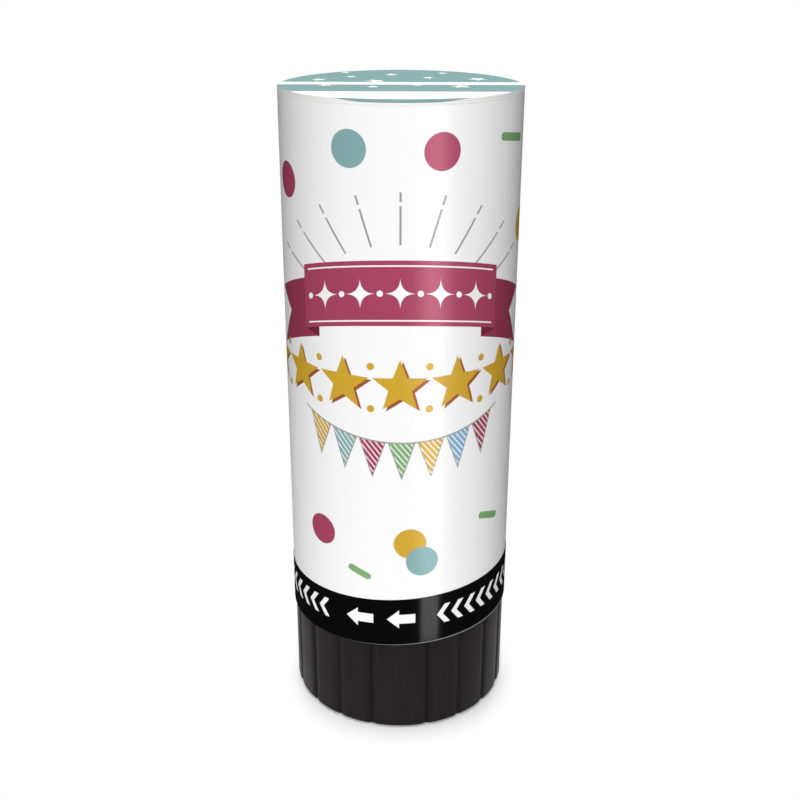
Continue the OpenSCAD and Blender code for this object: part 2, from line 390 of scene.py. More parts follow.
# %% [markdown]
# ## Outlines and meshes
# The tube, the wad, the grip and the cover's disc are turned: an outline of radius and height goes
# round the axis. Sheets, bars and blocks are lofted: equal loops of points are joined one to the
# next. An outline's sharp corners are rounded first, because moulded and cut edges always catch a
# thin line of light.

# %% Outlines
CORNER_STEPS = 4


def rounded(corners):
    """Points of a closed outline. Each corner is (across, up) or (across, up, fillet)."""
    points = []
    for i, corner in enumerate(corners):
        here = Vector(corner[:2])
        fillet = corner[2] if len(corner) > 2 else 0
        if not fillet:
            points.append(tuple(here))
            continue
        before = (Vector(corners[i - 1][:2]) - here).normalized()
        after = (Vector(corners[(i + 1) % len(corners)][:2]) - here).normalized()
        half = before.angle(after) / 2
        centre = here + (before + after).normalized() * fillet / math.sin(half)
        start = here + before * fillet / math.tan(half) - centre
        end = here + after * fillet / math.tan(half) - centre
        for step in range(CORNER_STEPS + 1):
            share = step / CORNER_STEPS
            arm = start.slerp(end, share)
            points.append(tuple(centre + arm.normalized() * fillet))
    return points


print("a rounded square has", len(rounded([(0, 0, 0.1), (1, 0, 0.1), (1, 1, 0.1), (0, 1, 0.1)])), "points")

# %% Meshes


def mesh_of(points, faces):
    """A mesh from points in millimetres. Its doubles are merged, and its faces point outwards."""
    mesh = bpy.data.meshes.new("piece")
    mesh.from_pydata([Vector(p) * MM for p in points], [], faces)
    shape = bmesh.new()
    shape.from_mesh(mesh)
    bmesh.ops.remove_doubles(shape, verts=shape.verts, dist=1e-7)
    bmesh.ops.dissolve_degenerate(shape, edges=shape.edges, dist=1e-8)
    bmesh.ops.recalc_face_normals(shape, faces=shape.faces)
    shape.to_mesh(mesh)
    shape.free()
    return mesh


def turned(corners, segments=256):
    """An outline with its corners rounded, turned round Z. A point on the axis becomes a pole."""
    points = []
    rows = []
    for across, up in rounded(corners):
        count = 1 if across < 1e-6 else segments
        rows.append(range(len(points), len(points) + count))
        for i in range(count):
            a = 2 * math.pi * i / segments
            points.append((across * math.sin(a), -across * math.cos(a), up))
    faces = []
    for row, below in zip(rows, rows[1:] + rows[:1]):
        for i in range(segments):
            j = (i + 1) % segments
            around = [row[i % len(row)], row[j % len(row)], below[j % len(below)], below[i % len(below)]]
            face = list(dict.fromkeys(around))
            if len(face) > 2:
                faces.append(face)
    return mesh_of(points, faces)


def lofted(loops):
    """Closed loops of equally many points, joined one to the next, with a face at each end."""
    size = len(loops[0])
    last = size * (len(loops) - 1)
    faces = [tuple(range(size)), tuple(last + k for k in reversed(range(size)))]
    for a in range(0, last, size):
        for k in range(size):
            n = (k + 1) % size
            faces.append((a + k, a + n, a + size + n, a + size + k))
    return mesh_of([point for loop in loops for point in loop], faces)


def finished(name, mesh, body, looks, nodes, sharp=40):
    """Makes an object of a mesh, smooths it, and puts it on its body in place of its CAD nodes.

    The body is None where the piece will bend or stretch between two bodies.
    """
    made = bpy.data.objects.new(name, mesh)
    scene.collection.objects.link(made)
    mesh.name = name
    for look in looks:
        mesh.materials.append(look.material)
    for face in mesh.polygons:
        face.use_smooth = True
    mesh.set_sharp_from_angle(angle=math.radians(sharp))
    if body:
        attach(made, body)
    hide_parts(*nodes)
    print(f"{name}: {len(mesh.vertices)} vertices, {len(mesh.polygons)} faces")
    return made


print("meshes so far:", len(bpy.data.meshes))

# %% [markdown]
# ## Paper board
# The barrel is wound from strips of grey-brown board, which leave a slanting joint line every few
# centimetres. The board is matt and fibrous, and its cut end shows the plies as rings. The finish
# reads the angle round the axis for the winding, and the radius for the plies.

# %% Board finish
TUBE_WALL = 1.6
WIND_PITCH = 34
JOINT_HALF = 0.12
PLY = 0.4
PLY_LINE_HALF = 0.03
FIBRE_SHARE = 0.6


def board(name, dark, light):
    """Matt board with fibres and specks, a winding joint, and plies on its cut end."""
    look = Look(name, light, Roughness=0.85, Specular_IOR_Level=0.2)
    fibre = look.noise(0.6, detail=5, stretch=(1, 1, 0.35))
    speck = look.noise(0.18, seed=(7, 3, 1))
    turn = look.maths("ARCTAN2", look.x, look.y) / (2 * math.pi)
    seam = abs((turn * WIND_PITCH + look.z) % WIND_PITCH - WIND_PITCH / 2)
    joint = look.inside(seam - JOINT_HALF, blur=0.2)
    depth = look.length(look.x, look.y) % PLY - PLY / 2
    ply = look.inside(abs(depth) - PLY_LINE_HALF, blur=0.05)
    shade = look.paint(fibre * FIBRE_SHARE + speck * (1 - FIBRE_SHARE), dark, light)
    shade = look.paint(joint * 0.5 | ply * 0.25, shade, dark)
    look.set(Base_Color=shade, Normal=look.bump(fibre - joint, 0.05))
    return look


tube_board = board("tube_board", tone(168, 140, 105), tone(206, 182, 146))
wad_board = board("wad_board", tone(138, 128, 112), tone(182, 172, 156))
print("plies in the wall:", round(TUBE_WALL / PLY))

# %% [markdown]
# ## The tube and the wad
# Both are cut from board, and the blade rounds each edge a little. The wad lies between the pusher
# and the paper, and its top is pressed in inside the rim.

# %% Cardboard tube
KNIFE_ROUND = 0.12
BORE_R = TUBE_R - TUBE_WALL
tube_mesh = turned([
    (TUBE_R, TUBE_LOW, KNIFE_ROUND),
    (TUBE_R, TUBE_TOP, KNIFE_ROUND),
    (BORE_R, TUBE_TOP, KNIFE_ROUND),
    (BORE_R, TUBE_LOW, KNIFE_ROUND),
])
finished("wound_tube", tube_mesh, "barrel", [tube_board], ["barrel_tube"])

# %% Card wad
WAD_R = span("pusher_wad", X)[1]
WAD_LOW, WAD_TOP = span("pusher_wad", Z)
PUNCH_ROUND = 0.25
DISH_RIM = 1.2
DISH_SLOPE = 0.3
DISH_ROUND = 0.3
DISH_DEPTH = 0.06
wad_mesh = turned([
    (0, WAD_LOW),
    (WAD_R, WAD_LOW, PUNCH_ROUND),
    (WAD_R, WAD_TOP, PUNCH_ROUND),
    (WAD_R - DISH_RIM, WAD_TOP, DISH_ROUND),
    (WAD_R - DISH_RIM - DISH_SLOPE, WAD_TOP - DISH_DEPTH, DISH_ROUND),
    (0, WAD_TOP - DISH_DEPTH),
], 128)
finished("card_wad", wad_mesh, "plunger", [wad_board], ["pusher_wad"])

# %% [markdown]
# ## The printed label
# The label is one sheet of coated paper, glued round the tube with a narrow overlap at the back.
# Its print is drawn by distances: u runs round the barrel from the front line, and v runs up. A dot
# is where the distance to its centre is small, a ray is where the distance to a line is small, and
# what repeats is folded into one cell before it is drawn. No picture is needed, so the print stays
# sharp from near by. The design is a plain party print: a ribbon with sparkles, a fan of rays, a row
# of stars and a string of flags.

# %% Inks
PAPER = tone(250, 250, 250)
TEAL = tone(132, 171, 172)
RASPBERRY = tone(166, 69, 99)
GOLD = tone(208, 166, 52)
AMBER = tone(160, 86, 50)
GREEN = tone(128, 174, 116)
BLUE = tone(128, 176, 208)
GREY = tone(158, 158, 158)
PLUM = tone(118, 36, 62)
WINE = tone(150, 58, 87)
print("gold in linear light:", [round(c, 3) for c in GOLD[:3]])

# %% Drawing tools


class Print(Look):
    """A finish with drawing tools that work on the place (u, v), in millimetres on the sheet."""

    def place(self, u, v):
        self.u, self.v = u, v
        self.spot = self.join(u, v)

    def dots(self, *dots):
        """Round dots, each given as (u, v, radius)."""
        mask = None
        for u, v, radius in dots:
            gap = self.vector("DISTANCE", self.spot, (u, v, 0), out="Value") - radius
            mask = gap if mask is None else mask & gap
        return self.inside(mask)

    def dashes(self, width, *lines):
        """Round-ended strokes, each given as (u, v, u, v)."""
        nearest = None
        for u0, v0, u1, v1 in lines:
            along = (u1 - u0, v1 - v0, 0)
            square = along[0] ** 2 + along[1] ** 2
            offset = self.vector("SUBTRACT", self.spot, (u0, v0, 0))
            ahead = self.vector("DOT_PRODUCT", offset, along, out="Value")
            share = self.maths("MULTIPLY", ahead, 1 / square, clamp=True)
            gap = self.vector("DISTANCE", offset, self.scaled(along, share), out="Value")
            nearest = gap if nearest is None else nearest & gap
        return self.inside(nearest - width / 2)

    def star(self, u, v, tip, turn=0.0, waist=0.42):
        """The distance to a star with five tips round u = 0, v = 0. Its waist is a share of the tip."""
        fifth = 2 * math.pi / 5
        around = self.maths("ARCTAN2", u, v) + turn
        fold = abs((around + fifth / 2) % fifth - fifth / 2)
        far = self.length(u, v)
        along, across = far * self.maths("COSINE", fold), far * self.maths("SINE", fold)
        dip = (tip * waist * math.cos(fifth / 2), tip * waist * math.sin(fifth / 2))
        side = math.hypot(tip - dip[0], dip[1])
        return (along * dip[1] + across * (tip - dip[0]) - tip * dip[1]) / side


print("drawing tools:", [n for n in vars(Print) if not n.startswith("_")])

# %% [markdown]
# ### Motifs of the label
# Each function paints one motif over the ink it is given, from its back to its front. The ribbon is
# drawn by its distance from a bowed middle line. The rays, the stars and the flags are each drawn in
# one folded cell, so that many cost as much as one. The amber under a gold star lies a little to the
# right and lower, which gives the star a darker edge.

# %% Ribbon
RIBBON_AT = 64.0
RIBBON_BOW = 0.0088
RIBBON_HALF = 5.3
RIBBON_END = 27.2
NOTCH = 4.6
TAIL_DROP = 1.9
TAIL_HALF = 5.0
FOLD_AT = 14.2
PANEL_HALF = 17.6
PANEL_MARGIN = 1.0
PANEL_LINE = 0.25
SPARKLE_STEP = 6.4
SPARKLE_REACH = 1.62
SPARKLE_DOT = 0.5


def draw_ribbon(look, ink):
    """A folded ribbon: two tails behind, two dark folds, and a curved panel with sparkles."""
    side = abs(look.u)
    bow = look.v - (RIBBON_AT - look.u * look.u * RIBBON_BOW)
    low = bow + TAIL_DROP
    notch = RIBBON_END - NOTCH + abs(low) * (NOTCH / RIBBON_HALF)
    tail = look.inside((abs(low) - TAIL_HALF) | (side - notch) | (FOLD_AT - side))
    ink = look.paint(tail, ink, WINE)
    slope = (TAIL_DROP + TAIL_HALF - RIBBON_HALF) / (PANEL_HALF - FOLD_AT)
    fold = (side - PANEL_HALF) * slope - RIBBON_HALF - bow
    ink = look.paint(look.inside(fold | (bow + RIBBON_HALF) | (FOLD_AT - side)), ink, PLUM)
    panel = look.inside((abs(bow) - RIBBON_HALF) | (side - PANEL_HALF))
    ink = look.paint(panel, ink, RASPBERRY)
    line_low = RIBBON_HALF - PANEL_MARGIN
    line = look.between(abs(bow), line_low, line_low + PANEL_LINE)
    cell = abs((look.u + SPARKLE_STEP / 2) % SPARKLE_STEP - SPARKLE_STEP / 2)
    curve = look.maths("SQRT", cell) + look.maths("SQRT", abs(bow))
    sparkle = look.inside(curve - SPARKLE_REACH, blur=0.04)
    dot = look.inside(look.length(cell - SPARKLE_STEP / 2, bow) - SPARKLE_DOT)
    on_panel = look.inside(side - PANEL_HALF + PANEL_MARGIN)
    return look.paint((line | sparkle | dot) & on_panel, ink, PAPER)


print("ribbon:", 2 * RIBBON_END, "mm long")

# %% Rays
RAY_CENTRE = 57
RAY_SQUEEZE = 0.82
RAY_COUNT = 9
RAY_PITCH = math.radians(14.6)
RAY_HALF = 0.14
RAY_ENDS = (14.7, 20.7)
RAY_DASH_ENDS = (21.35, 22.8)


def draw_rays(look, ink):
    """A fan of thin strokes with a short dash beyond each, drawn in one folded wedge."""
    across, up = look.u * RAY_SQUEEZE, look.v - RAY_CENTRE
    bearing = look.maths("ARCTAN2", across, up)
    fold = (bearing + RAY_PITCH / 2) % RAY_PITCH - RAY_PITCH / 2
    far = look.length(across, up)
    stroke = look.inside(abs(far * fold) - RAY_HALF)
    reach = look.between(far, *RAY_ENDS) | look.between(far, *RAY_DASH_ENDS)
    fan = look.inside(abs(bearing) - RAY_PITCH * RAY_COUNT / 2, blur=0.01)
    return look.paint(stroke & reach & fan, ink, GREY)


print("the fan is", round(math.degrees(RAY_PITCH * RAY_COUNT)), "degrees wide")

# %% Stars
STARS_AT = 48.3
STAR_COUNT = 13
STAR_TIP = 4.75
EDGE_SHIFT = 0.5
EDGE_DROP = 0.35
BEAD_R = 0.62
BEAD_RISE = 3.4
BEAD_FALL = 3.9


def draw_stars(look, ink):
    """A row of gold stars round the whole barrel, with small beads over and under their gaps."""
    pitch = 2 * math.pi * LABEL_R / STAR_COUNT
    for shift, drop, colour in ((EDGE_SHIFT, -EDGE_DROP, AMBER), (0.0, 0.0, GOLD)):
        cell = (look.u - shift + pitch / 2) % pitch - pitch / 2
        ink = look.paint(look.inside(look.star(cell, look.v - STARS_AT - drop, STAR_TIP)), ink, colour)
    cell = (look.u % pitch) - pitch / 2
    upper = look.length(cell, look.v - STARS_AT - BEAD_RISE)
    lower = look.length(cell, look.v - STARS_AT + BEAD_FALL)
    return look.paint(look.inside((upper & lower) - BEAD_R), ink, GOLD)


print("a star every", round(2 * math.pi * LABEL_R / STAR_COUNT, 2), "mm")

# %% Flags
FLAG_STEP = 4.9
FLAG_DROP = 6.6
FLAG_HALF_SHARE = 0.46
FLAG_LINE = (-0.12, 0.06)
FLAG_INKS = (GOLD, TEAL, RASPBERRY, GREEN, GOLD, BLUE, RASPBERRY)
STRING_AT = (0.3, 38.5)
STRING_SAG = 0.0118
STRING_HALF = 0.13
STRING_SPARE = 1.2
HATCH_STEP = 0.95
HATCH_HALF = 0.15
HATCH_SLANT = 0.8
HATCH_STRENGTH = 0.8


def draw_flags(look, ink):
    """A sagging string with flags, each hatched with slanting white lines."""
    across, up = look.u - STRING_AT[0], look.v - STRING_AT[1]
    half = len(FLAG_INKS) * FLAG_STEP / 2
    sag = up - across * across * STRING_SAG
    cell = (across + half) % FLAG_STEP - FLAG_STEP / 2
    number = look.maths("FLOOR", (across + half) / FLAG_STEP)
    on_string = look.inside(abs(across) - half)
    edge = abs(cell) + (sag * -1 - FLAG_DROP) * (FLAG_STEP * FLAG_HALF_SHARE / FLAG_DROP)
    flag = look.inside(edge | sag) & on_string
    slant = (across + up * HATCH_SLANT) % HATCH_STEP - HATCH_STEP / 2
    hatch = look.inside(abs(slant) - HATCH_HALF, blur=0.05) * HATCH_STRENGTH
    colour = FLAG_INKS[0]
    for i, flag_ink in enumerate(FLAG_INKS[1:], 1):
        colour = look.paint(look.maths("COMPARE", number, float(i), 0.1), colour, flag_ink)
    ink = look.paint(flag, ink, look.paint(hatch, colour, PAPER))
    outline = look.between(edge | sag, *FLAG_LINE, blur=0.04) & on_string
    string = look.inside(abs(sag) - STRING_HALF) & look.inside(abs(across) - half - STRING_SPARE)
    return look.paint(outline | string, ink, GREY)


print("flags:", len(FLAG_INKS))

# %% [markdown]
# ### The whole print
# Dots and dashes fill the rest of the sheet, at places listed one by one. The label and the
# band are varnished. A common varnish shines far more at a slant than head on, and in a view from
# behind that washed out the edge of the barrel. A coat with a high index and a small share shines as
# much in front and stays even at a slant.

# %% The whole print
GOLD_DOTS = (
    (1.8, 19.7, 2.8), (27.4, 71.3, 2.9), (-38, 25, 2.8), (47, 60, 3), (-52, 83, 2.8), (55, 18, 2.9),
)
TEAL_DOTS = (
    (-8.1, 86, 2.9), (3.9, 16.2, 2.8), (-34, 66, 2.8), (38, 26, 2.9), (51.5, 75, 2.8), (-47, 32, 2.9),
)
RASPBERRY_DOTS = (
    (6.4, 85.7, 2.9), (-22.4, 79.4, 2.9), (-14.6, 19.9, 2.8), (41, 83, 2.9), (31.5, 17, 2.8),
    (-41.5, 79, 2.9), (-55, 63, 2.8), (57.6, 31, 2.8),
)
GREEN_DASHES = (
    (18.3, 86.8, 24.6, 85.8), (15.7, 22.2, 19.7, 20.8), (-8.5, 14.2, -5.6, 13), (-34, 31.4, -30.4, 33),
    (33.5, 64, 36.4, 67), (-58.6, 74.4, -55.4, 76.6), (47.6, 36.6, 51.6, 35.6), (-44.2, 68, -41.6, 65),
    (-50.8, 17, -46.8, 17.8),
)
DASH_WIDTH = 1.3
COAT_IOR = 2.4


def party_print():
    """The label's whole print under its varnish."""
    look = Print("label_print", PAPER, Roughness=0.42, Specular_IOR_Level=0.0)
    turn = look.maths("ARCTAN2", look.x, look.y * -1)
    look.place(turn * LABEL_R, look.z - TUBE_LOW)
    ink = PAPER
    for draw in (draw_rays, draw_ribbon, draw_stars, draw_flags):
        ink = draw(look, ink)
    for colour, dots in ((GOLD, GOLD_DOTS), (TEAL, TEAL_DOTS), (RASPBERRY, RASPBERRY_DOTS)):
        ink = look.paint(look.dots(*dots), ink, colour)
    ink = look.paint(look.dashes(DASH_WIDTH, *GREEN_DASHES), ink, GREEN)
    grain = look.noise(0.35, detail=3)
    look.set(Base_Color=ink, Coat_Weight=0.021, Coat_IOR=COAT_IOR, Coat_Roughness=0.38)
    look.set(Normal=look.bump(grain, 0.0015))
    return look


label_print = party_print()
print("nodes in the print:", len(label_print.tree.nodes))

# %% [markdown]
# ## Wrapped sheets
# The label and the band are wound once round, and each ends over its own start at the back, as glued
# paper does. A plain ring would have no seam there. So a loop of points across the sheet is carried
# round the axis, and it climbs by one thickness just before it meets the start.

# %% Label sheet
LABEL_T = LABEL_R - TUBE_R
LAP_ANGLE = 5.0
LAP_RISE = 4.0
LAP_SPARE = 1.02
SHEET_STEPS = 384


def wrapped(inner, thick, low_at, top_at, rows):
    """A sheet wound once round the axis, whose end lies over its start at the back."""
    start = -180 - LAP_ANGLE / 2
    angles = [start + (360 + LAP_ANGLE) * i / SHEET_STEPS for i in range(SHEET_STEPS + 1)]
    loops = []
    for a in angles:
        climb = min(max((a - 180 + LAP_ANGLE / 2 + LAP_RISE) / LAP_RISE, 0), 1)
        lift = thick * LAP_SPARE * climb * climb * (3 - 2 * climb)
        s, c = math.sin(math.radians(a)), math.cos(math.radians(a))
        section = [(inner + lift + thick, k / rows) for k in range(rows + 1)]
        section += [(inner + lift, 1 - k / rows) for k in range(rows + 1)]
        loops.append([
            (r * s, -r * c, low_at(r * s) + (top_at(r * s) - low_at(r * s)) * share)
            for r, share in section
        ])
    return lofted(loops)


label_mesh = wrapped(TUBE_R, LABEL_T, lambda x: TUBE_LOW, lambda x: TUBE_TOP, 8)
label = finished("label_sheet", label_mesh, "barrel", [label_print], ["label_wrap"])

# %% [markdown]
# ## The turn band
# A strip of black gloss film covers the joint between the tube and the grip. It sits a little
# askew, and a thin pale margin shows under its print, painted mid grey as painted shade on its
# white edge. White arrows and a row of chevrons point the way to turn. All of them are drawn in
# one cell of the angle, which repeats round the band.

# %% Band finish
BAND_LOW = TUBE_LOW - 0.5
BAND_HEIGHT = 9.2
LOW_SLOPE = 0.035
HIGH_SLOPE = 0.055
MARGIN = 0.1
MARGIN_SLOPE = 0.045
BAND_BLACK = tone(4, 4, 5)
# The margin's white edge is given this mid grey as painted shade.
MARGIN_SHADE_GREY = tone(134, 136, 134)
ROW_UP = 5.3
ROW_SLOPE = 0.038
CELL_ANGLE = 120
CELL_START = -39
ARROW_TIPS = (-9.6, -2.2)
ARROW_LENGTH = 5.0
HEAD_LENGTH = 2.15
HEAD_SLOPE = 0.85
SHAFT_HALF = 0.9
SHAFT_START = 1.8
CHEVRONS = 8
CHEVRON_START = 5.9
CHEVRON_STEP = 2.75
CHEVRON_HALF = 0.55
CHEVRON_SLOPE = 0.75
CHEVRON_REACH = 1.9


def band_print():
    """Black gloss film with two arrows and a row of chevrons in each cell, and a pale margin in painted
    shade.
    """
    look = Print("band_print", BAND_BLACK, Roughness=0.5, Specular_IOR_Level=0.0)
    turn = look.maths("ARCTAN2", look.x, look.y * -1) * (180 / math.pi)
    row = look.z - look.x * ROW_SLOPE - BAND_LOW - ROW_UP
    half = abs(row)
    cell = ((turn - CELL_START) % CELL_ANGLE + CELL_START) * (BAND_R * math.pi / 180)
    arrows = None
    for tip in ARROW_TIPS:
        along = cell - tip
        head = (half - along * HEAD_SLOPE) | (along - HEAD_LENGTH)
        shaft = (half - SHAFT_HALF) | (SHAFT_START - along) | (along - ARROW_LENGTH)
        gap = head & shaft
        arrows = gap if arrows is None else arrows & gap
    first = cell - half * CHEVRON_SLOPE - CHEVRON_START
    stripe = abs(first % CHEVRON_STEP - CHEVRON_STEP / 2) - CHEVRON_HALF
    chevrons = stripe | (first * -1) | (first - CHEVRONS * CHEVRON_STEP) | (half - CHEVRON_REACH)
    printed = look.paint(look.inside(arrows & chevrons), BAND_BLACK, PAPER)
    # A strip along the lower edge, painted mid grey as painted shade on its white edge.
    margin = look.inside(look.z - look.x * MARGIN_SLOPE - BAND_LOW - MARGIN)
    scuff = look.noise(2.5, detail=4, stretch=(1, 1, 0.3))
    look.set(
        Base_Color=look.paint(margin, printed, MARGIN_SHADE_GREY),
        Coat_Weight=0.0118,
        Coat_IOR=COAT_IOR,
        Coat_Roughness=0.16,
        Normal=look.bump(scuff, 0.004),
    )
    return look


def band_low(x):
    """The band's lower edge, which slants a little less than its upper one."""
    return BAND_LOW + LOW_SLOPE * x


def band_top(x):
    return BAND_LOW + BAND_HEIGHT + HIGH_SLOPE * x


band_film = band_print()
band_mesh = wrapped(LABEL_R, BAND_R - LABEL_R, band_low, band_top, 4)
band = finished("arrow_band", band_mesh, "barrel", [band_film], ["turn_band"])

# %% [markdown]
# ## Gloss for the label and the band alone
# The narrow lamp would also draw a bright stripe down the grip. Light linking gives that lamp a
# collection of receivers, and it lights nothing else.

# %% Gloss receivers
receivers = bpy.data.collections.new("gloss_receivers")
for piece in (label, band):
    receivers.objects.link(piece)
gloss_strip.light_linking.receiver_collection = receivers
print("the gloss strip lights", ", ".join(piece.name for piece in receivers.objects))

# %% [markdown]
# ## Moulded plastic
# Moulded parts have a fine grain, a sheen that changes slowly, and streaks or clouds in their colour
# where the plastic flowed. One function gives the grain and the colour, and each part then sets its
# own sheen.

# %% Moulded plastic
GRAIN_SIZE = 0.12
GRAIN_DEPTH = 0.006
SHEEN_SIZE = 6


def moulded(name, dark, light, level, **pattern):
    """Moulded plastic with a fine grain, and noise of the given pattern between two near tones."""
    look = Look(name, light, Specular_IOR_Level=level)
    look.flow = look.noise(**pattern)
    look.tint = look.paint(look.flow, dark, light)
    look.set(Base_Color=look.tint, Normal=look.bump(look.noise(GRAIN_SIZE), GRAIN_DEPTH))
    return look


def sheen(look, roughness, change=0.16):
    """A roughness that changes slowly over the surface."""
    return (look.noise(SHEEN_SIZE) - 0.5) * change + roughness


print("grain:", GRAIN_SIZE, "mm wide and", GRAIN_DEPTH, "mm deep")

# %% [markdown]
# ## The fluted grip
# The grip is a moulded cup: eight flat flutes on each side between two plain panels, with sharp
# narrow grooves. Its section turns round the axis, and a Geometry Nodes tree then presses the
# grooves in by a rule: the wall drops by a high power of the distance from the flute's middle.
# The tree also stores that share, so the finish can be duller in the grooves, and darker there as
# painted shade. Drawing each groove as a cut would leave its edges too crisp for a moulding.

# %% Geometry Nodes helpers


class Shape(Graph):
    """A Geometry Nodes tree with named inputs."""

    def __init__(self, name):
        super().__init__(bpy.data.node_groups.new(name, "GeometryNodeTree"))
        self.tree.interface.new_socket("Geometry", in_out="INPUT", socket_type="NodeSocketGeometry")
        self.tree.interface.new_socket("Geometry", in_out="OUTPUT", socket_type="NodeSocketGeometry")
        self.start = self.tree.nodes.new("NodeGroupInput")
        self.end = self.tree.nodes.new("NodeGroupOutput")
        self.values = {}

    def size(self, name, value):
        """A named input, as a number for the tree's sums."""
        kind = "NodeSocketInt" if isinstance(value, int) else "NodeSocketFloat"
        item = self.tree.interface.new_socket(name, in_out="INPUT", socket_type=kind)
        self.values[item.identifier] = value
        return Num(self, self.start.outputs[name])

    def close(self, geometry, look):
        """Ends the tree: real instances, then the material."""
        real = self.add("GeometryNodeRealizeInstances", None, {0: geometry})
        skin = self.add("GeometryNodeSetMaterial", None, {0: real.outputs[0], "Material": look.material})
        self.tree.links.new(skin.outputs[0], self.end.inputs[0])

    def run(self, mesh):
        """Applies the tree to a mesh and gives back the plain result."""
        holder = bpy.data.objects.new("holder", mesh)
        scene.collection.objects.link(holder)
        modifier = holder.modifiers.new("shape", "NODES")
        modifier.node_group = self.tree
        for identifier, value in self.values.items():
            modifier[identifier] = value
        graph = bpy.context.evaluated_depsgraph_get()
        result = bpy.data.meshes.new_from_object(holder.evaluated_get(graph), depsgraph=graph)
        holder.modifiers.remove(modifier)
        bpy.data.objects.remove(holder)
        return result


print("geometry trees so far:", len(bpy.data.node_groups))

# %% Grip finish
DUST_LEVEL = 0.76
DUST = tone(96, 92, 88)
DUST_SHARE = 0.3
# Painted shade: the grooves are painted darker, towards this near-black.
GROOVE_SHADE = tone(12, 11, 11)
GROOVE_SHADE_SHARE = 0.6
GROOVE_DULLER = 0.12
grip_black = moulded(
    "grip_black", tone(25, 23, 24), tone(36, 33, 34), level=0.06, size=1.4, detail=3,
    stretch=(1, 1, 0.06), seed=(1, 5, 0),
)
groove = Num(grip_black, grip_black.add("ShaderNodeAttribute", {"attribute_name": "groove"}).outputs["Fac"])
speck = grip_black.noise(0.22, detail=1, seed=(3, 9, 2))
dust = grip_black.inside(speck * -1 + DUST_LEVEL, blur=0.04)
# Painted shade: the colour darkens in the grooves, where shade falls.
plastic = grip_black.paint(groove * GROOVE_SHADE_SHARE, grip_black.tint, GROOVE_SHADE)
grip_black.set(
    Base_Color=grip_black.paint(dust * DUST_SHARE, plastic, DUST),
    Roughness=sheen(grip_black, 0.43, change=0.12) + groove * GROOVE_DULLER,
)
print("nodes in the grip's finish:", len(grip_black.tree.nodes))

# %% The rule for the flutes
FLUTE_DEPTH = 0.5
FLUTES = 8
PANEL = 30.0
CROWN_POWER = 8.0
GRIP_INSIDE = 17.9
STILL_WALL = 0.7


def flute_tree():
    """Presses the grooves into the outer wall. The inner wall and a skin over it stay round."""
    shape = Shape("flutes")
    crest = shape.size("Crest radius", GRIP_R * MM)
    inside = shape.size("Inside radius", (GRIP_INSIDE + STILL_WALL) * MM)
    depth = shape.size("Groove depth", FLUTE_DEPTH * MM)
    panel = shape.size("Panel angle", PANEL)
    flutes = shape.size("Flutes on each side", float(FLUTES))
    crown = shape.size("Crown power", CROWN_POWER)
    x, y, z = shape.split(shape.add("GeometryNodeInputPosition").outputs[0])
    far = shape.length(x, y)
    bearing = abs(shape.maths("ARCTAN2", abs(x), abs(y))) * (180 / math.pi)
    width = (180 - panel) / flutes
    on_panel = shape.maths("LESS_THAN", bearing, panel / 2)
    in_flute = abs(((bearing - panel / 2) / width) % 1.0 * 2 - 1)
    share = on_panel * (bearing * 2 / panel) + (1 - on_panel) * in_flute
    drop = share ** crown
    outer = shape.fade(far, inside, crest)
    new_far = far - drop * outer * depth
    scale = new_far / (far | 1e-6)
    move = shape.add("GeometryNodeSetPosition", None,
        {"Geometry": shape.start.outputs[0], "Position": shape.join(x * scale, y * scale, z)})
    store = shape.add("GeometryNodeStoreNamedAttribute", {"data_type": "FLOAT", "domain": "POINT"},
        {"Geometry": move.outputs[0], "Name": "groove", "Value": drop * outer})
    shape.close(store.outputs[0], grip_black)
    return shape


print("a flute is", (180 - PANEL) / FLUTES, "degrees wide")

# %% [markdown]
# ## The grip's section
# The outline runs from the mould's gate mark, a small boss on the axis, over the foot ring and up
# the outer wall. It comes down again inside, past the bead that runs in the plug's neck, and ends on
# the spigot for the release cam. Two rows part the tall wall, so that its faces aren't too long.

# %% Grip
BOSS_R = 1.6
BOSS_DROP = 0.25
BOSS_SLOPE = 0.4
FOOT_HOLLOW = 0.8
FOOT_R = 15.7
FOOT_SLOPE = 0.4
FOOT_ROUND = 0.9
WALL_ROWS = (7, 14)
BEAD_REACH = 0.6
BEAD_H = 1.6
SPIGOT_R = 4.75
CAM_DEPTH = 3.6
CAM_LOW, CAM_TOP = span("release_cam", Z)
SPIGOT_TOP = (CAM_LOW + CAM_TOP - CAM_DEPTH) / 2
bead_r = GRIP_INSIDE - BEAD_REACH
bead_top = GRIP_TOP - BEAD_H
grip_section = turned([
    (0, FOOT_HOLLOW - BOSS_DROP),
    (BOSS_R, FOOT_HOLLOW - BOSS_DROP, 0.1),
    (BOSS_R + BOSS_SLOPE, FOOT_HOLLOW, 0.1),
    (FOOT_R - FOOT_SLOPE, FOOT_HOLLOW, 0.3),
    (FOOT_R, 0, 0.25),
    (GRIP_R, 0, FOOT_ROUND),
    *[(GRIP_R, up) for up in WALL_ROWS],
    (GRIP_R, GRIP_TOP, 0.25),
    (GRIP_INSIDE, GRIP_TOP, 0.2),
    (GRIP_INSIDE, bead_top, 0.05),
    (bead_r, bead_top, 0.3),
    (bead_r, bead_top - BEAD_H, 0.3),
    (GRIP_INSIDE, bead_top - BEAD_H, 0.05),
    (GRIP_INSIDE, CAM_LOW, 0.6),
    (SPIGOT_R, CAM_LOW, 0.2),
    (SPIGOT_R, SPIGOT_TOP, 0.3),
    (0, SPIGOT_TOP),
], 720)
grip_mesh = flute_tree().run(grip_section)
print("grip:", len(grip_mesh.polygons), "faces")

# %% [markdown]
# ## Lugs and parting lines
# Two lugs inside the grip run in the plug's windows and end its turn. Outside, the mould's two halves
# leave a hair-thin ridge at the front and at the back. All four are blocks between two radii, two
# heights and two angles, and they sink a little into the wall.

